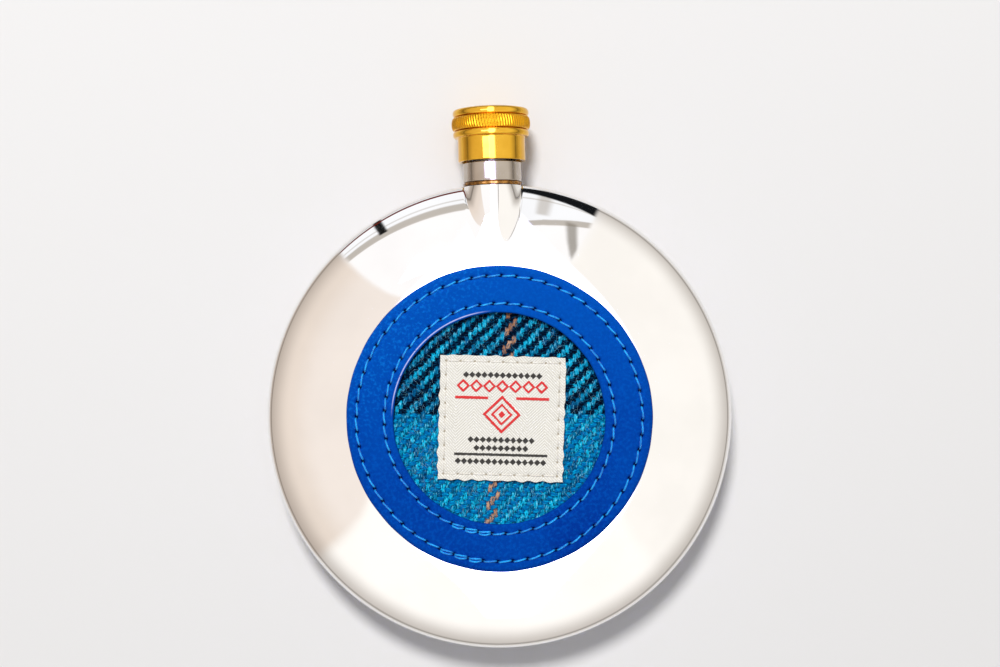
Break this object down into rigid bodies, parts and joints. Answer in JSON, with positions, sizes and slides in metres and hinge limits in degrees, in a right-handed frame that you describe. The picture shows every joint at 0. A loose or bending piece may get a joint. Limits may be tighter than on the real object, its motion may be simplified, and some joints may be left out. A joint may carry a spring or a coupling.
{
  "type": "hip flask",
  "caption": "Round steel hip flask with a screw cap on a short neck and a stitched leather, tweed and woven label patch on its front.",
  "frame": {"origin": "centre of the flat land on the flask's back, on its surface", "axes": "+Z out of the front face with the patch, +Y from the body's centre up the neck to the cap, +X to the right seen from the front"},
  "size_m": [0.11, 0.1283, 0.0255],
  "materials": {
    "polished_steel": "polished",
    "satin_steel": "satin",
    "braze_brass": "satin",
    "polished_brass": "polished",
    "insert_plastic": "satin",
    "seal_rubber": "matte",
    "adhesive_foam": "matte",
    "backing_board": "matte",
    "blue_tweed": "matte",
    "blue_leather": "satin",
    "label_cloth": "matte",
    "blue_thread": "satin",
    "bobbin_thread": "matte",
    "label_thread": "matte"
  },
  "bodies": {
    "flask": {"front_shell": "polished_steel", "back_shell": "polished_steel", "neck_tube": "satin_steel", "neck_collar": "satin_steel", "braze_ring": "braze_brass", "patch_adhesive": "adhesive_foam", "patch_backing": "backing_board", "tweed_disc": "blue_tweed", "leather_ring": "blue_leather", "woven_label": "label_cloth", "outer_seam_thread": "blue_thread", "inner_seam_thread": "blue_thread", "outer_bobbin_thread": "bobbin_thread", "inner_bobbin_thread": "bobbin_thread", "label_seam_thread": "label_thread", "label_bobbin_thread": "label_thread"},
    "cap_travel": {"cap_seal": "seal_rubber"},
    "cap": {"cap_shell": "polished_brass", "cap_insert": "insert_plastic"}
  },
  "joints": [
    {"name": "cap_lift", "type": "slide", "parent": "flask", "child": "cap_travel", "axis": [0, 1, 0], "range_m": [0, 0.0121]},
    {"name": "cap_turn", "type": "hinge", "parent": "cap_travel", "child": "cap", "pos_m": [0, 0.0668, 0.0105], "axis": [0, 1, 0], "range_deg": [0, 2160]}
  ],
  "couplings": [
    {"joint": "cap_lift", "follows": "cap_turn", "m_per_rad": 0.00031831}
  ]
}
